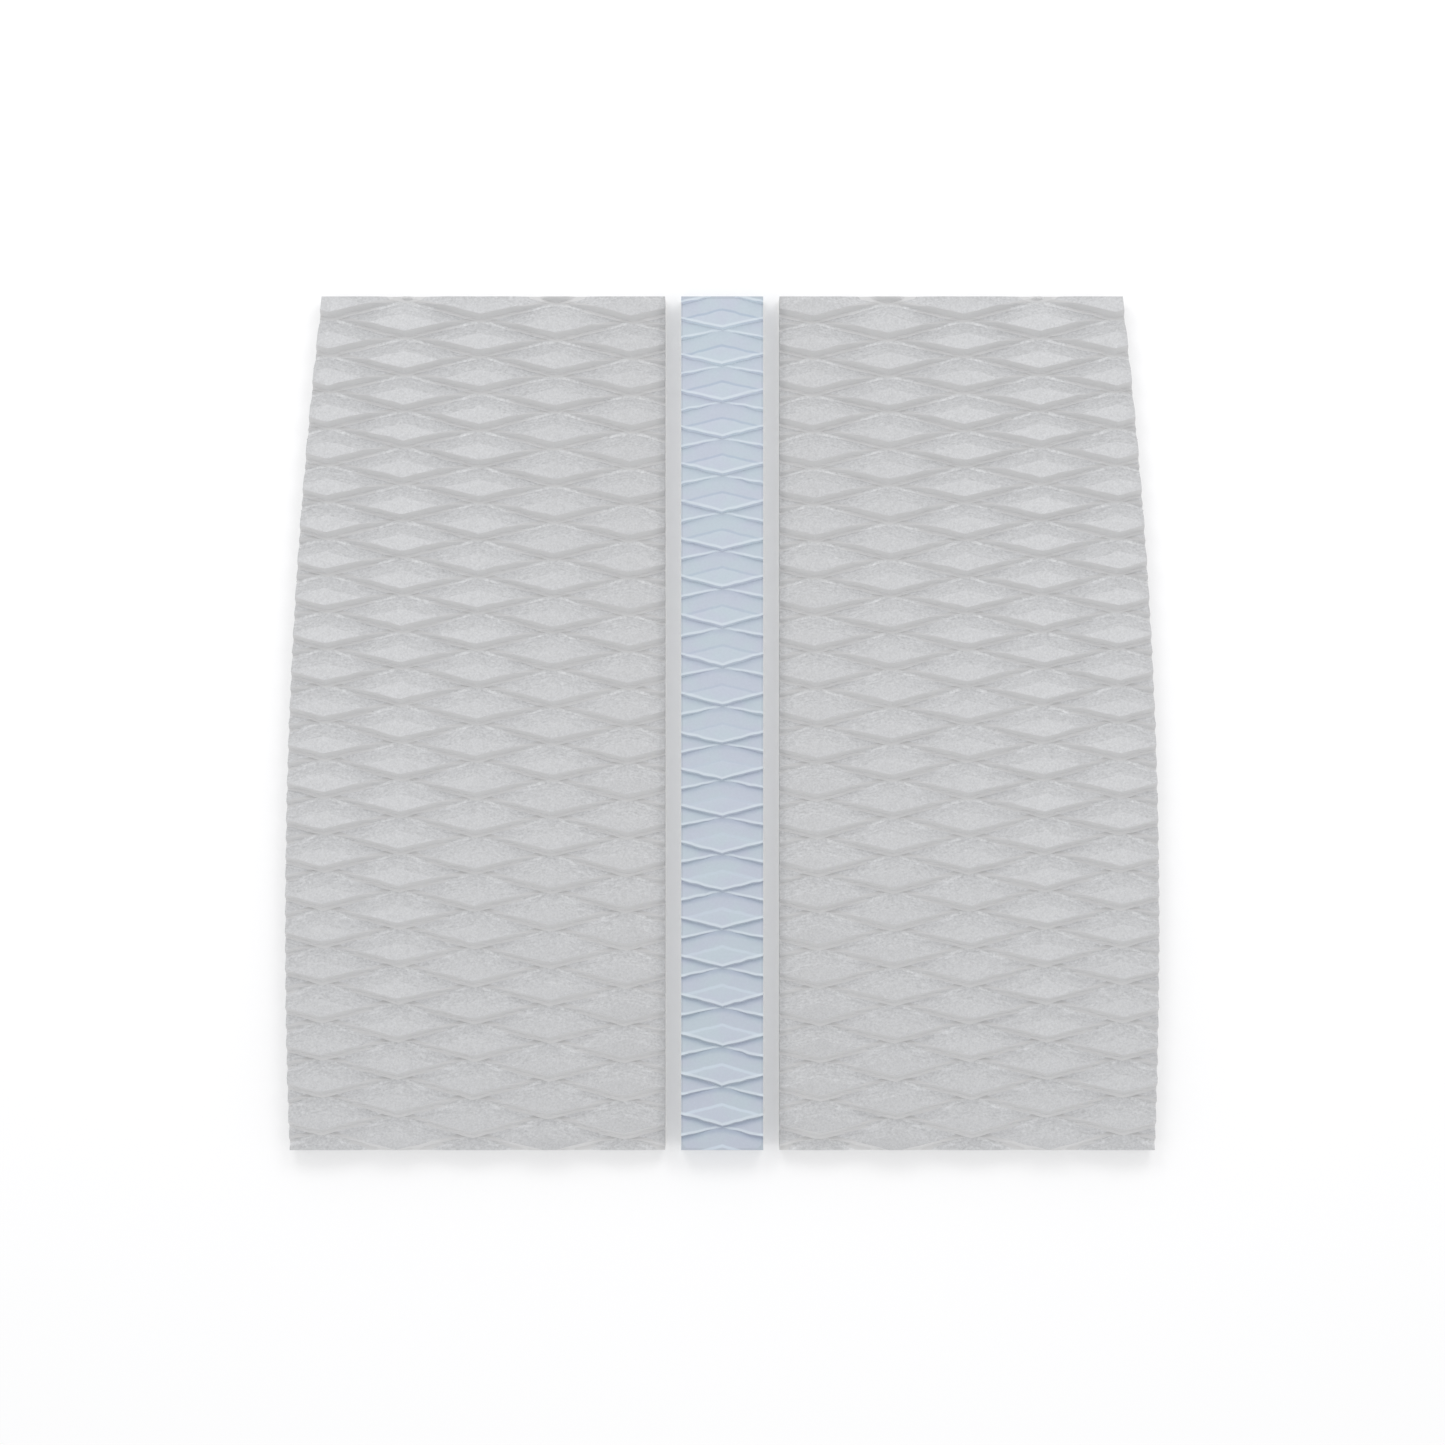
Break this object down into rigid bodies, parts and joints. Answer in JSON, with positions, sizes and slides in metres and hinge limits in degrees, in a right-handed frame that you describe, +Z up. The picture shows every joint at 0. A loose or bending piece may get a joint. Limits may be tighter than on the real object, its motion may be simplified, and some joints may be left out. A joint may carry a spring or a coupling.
{
  "type": "snowboard stomp pad",
  "caption": "Peel-and-stick foam traction pad for a snowboard: light grey diamond-grooved side strips with curved outer edges, and a narrow marbled pale blue strip between them.",
  "frame": {"origin": "centre of the pad's outline, on the surface that the release liners lie on", "axes": "+X across the pad from the left strip to the right strip, +Y along the strips towards the narrower end, +Z up through the foam"},
  "size_m": [0.16, 0.156, 0.0054],
  "materials": {
    "side_foam": "matte",
    "centre_foam": "matte",
    "adhesive": "satin",
    "liner": "satin"
  },
  "bodies": {
    "centre_liner": {"centre_release_liner": "liner"},
    "centre_strip": {"centre_grip_foam": "centre_foam", "centre_adhesive_sheet": "adhesive"},
    "left_liner": {"left_release_liner": "liner"},
    "left_strip": {"left_grip_foam": "side_foam", "left_adhesive_sheet": "adhesive"},
    "right_liner": {"right_release_liner": "liner"},
    "right_strip": {"right_grip_foam": "side_foam", "right_adhesive_sheet": "adhesive"}
  },
  "joints": [
    {"name": "centre_lift", "type": "slide", "parent": "centre_liner", "child": "centre_strip", "axis": [0, 0, 1], "range_m": [0, 0.04]},
    {"name": "left_spacing", "type": "slide", "parent": "centre_liner", "child": "left_liner", "axis": [-1, 0, 0], "range_m": [-0.0027, 0.02]},
    {"name": "left_lift", "type": "slide", "parent": "left_liner", "child": "left_strip", "axis": [0, 0, 1], "range_m": [0, 0.04]},
    {"name": "right_spacing", "type": "slide", "parent": "centre_liner", "child": "right_liner", "axis": [1, 0, 0], "range_m": [-0.0027, 0.02]},
    {"name": "right_lift", "type": "slide", "parent": "right_liner", "child": "right_strip", "axis": [0, 0, 1], "range_m": [0, 0.04]}
  ]
}
